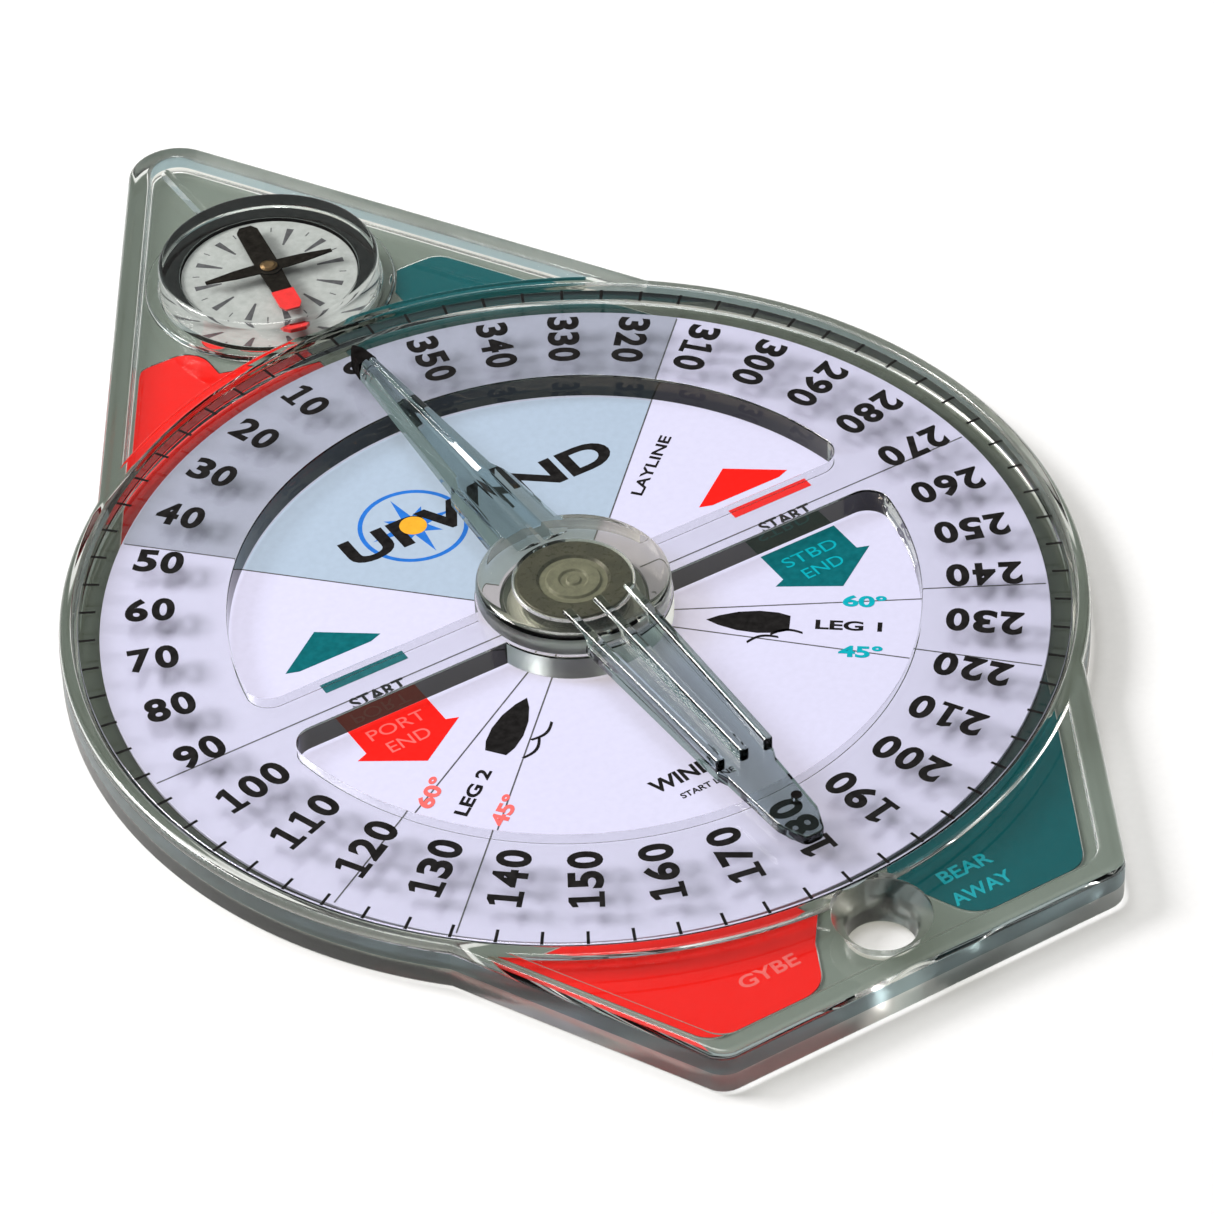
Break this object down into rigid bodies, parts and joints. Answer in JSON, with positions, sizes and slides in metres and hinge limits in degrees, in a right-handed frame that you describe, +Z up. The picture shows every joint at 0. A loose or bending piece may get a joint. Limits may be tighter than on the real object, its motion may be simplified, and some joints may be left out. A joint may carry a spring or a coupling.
{
  "type": "handheld sailing tactical calculator",
  "caption": "Flat clear pocket plotter for sailing races: printed course card, clear degree dial and double-ended cursor arm turning on a common axle, with a button compass.",
  "frame": {"origin": "on the axle that the card, dial and cursor turn about, at the flat underside", "axes": "+Y along the long axis towards the pointed compass end, +Z up out of the dial face, +X to the starboard side with the teal labels"},
  "size_m": [0.1084, 0.1605, 0.0078],
  "materials": {
    "clear_base": "polished clear acrylic with a grey-green tint",
    "clear_dial": "polished clear acrylic, nearly colourless",
    "clear_arm": "polished clear acrylic with a grey-green tint",
    "clear_lens": "polished clear acrylic block",
    "card_print": "satin white printed card with a cool cast",
    "rose_print": "satin printed compass card",
    "red_film": "printed film under clear plastic",
    "teal_film": "printed film under clear plastic",
    "white_film": "satin adhesive film",
    "black_plastic": "satin moulded plastic",
    "smoke_plastic": "smoky brown-grey moulded plastic",
    "grey_nylon": "matt nylon",
    "steel": "bright spring steel",
    "black_paint": "satin black paint on steel",
    "red_paint": "satin red paint on steel",
    "brass": "dull turned brass"
  },
  "bodies": {
    "base": {"base_tray": "clear_base", "label_starboard_fore": "teal_film", "label_port_fore": "red_film", "label_starboard_aft": "teal_film", "label_port_aft": "red_film", "axle_cover": "white_film", "compass_capsule": "black_plastic", "compass_rose": "rose_print", "compass_bezel": "black_plastic", "compass_lens": "clear_lens", "compass_pivot": "steel"},
    "card": {"course_card": "card_print"},
    "dial": {"degree_dial": "clear_dial", "friction_washer": "grey_nylon"},
    "cursor": {"cursor_arm": "clear_arm", "pointer_tip": "black_plastic", "index_dot": "black_plastic", "axle_pin": "smoke_plastic", "retaining_clip": "steel", "wave_washer": "steel"},
    "needle": {"needle_magnet": "black_paint", "north_tip": "red_paint", "needle_crossbar": "black_paint", "needle_cap": "brass"}
  },
  "joints": [
    {"name": "card_turn", "type": "hinge", "parent": "base", "child": "card", "pos_m": [0, 0, 0.0015], "axis": [0, 0, 1], "continuous": true},
    {"name": "dial_turn", "type": "hinge", "parent": "base", "child": "dial", "pos_m": [0, 0, 0.0034], "axis": [0, 0, 1], "continuous": true},
    {"name": "cursor_turn", "type": "hinge", "parent": "base", "child": "cursor", "pos_m": [0, 0, 0.006], "axis": [0, 0, 1], "continuous": true},
    {"name": "needle_swing", "type": "hinge", "parent": "base", "child": "needle", "pos_m": [0, 0.0665, 0.004], "axis": [0, 0, 1], "continuous": true}
  ]
}
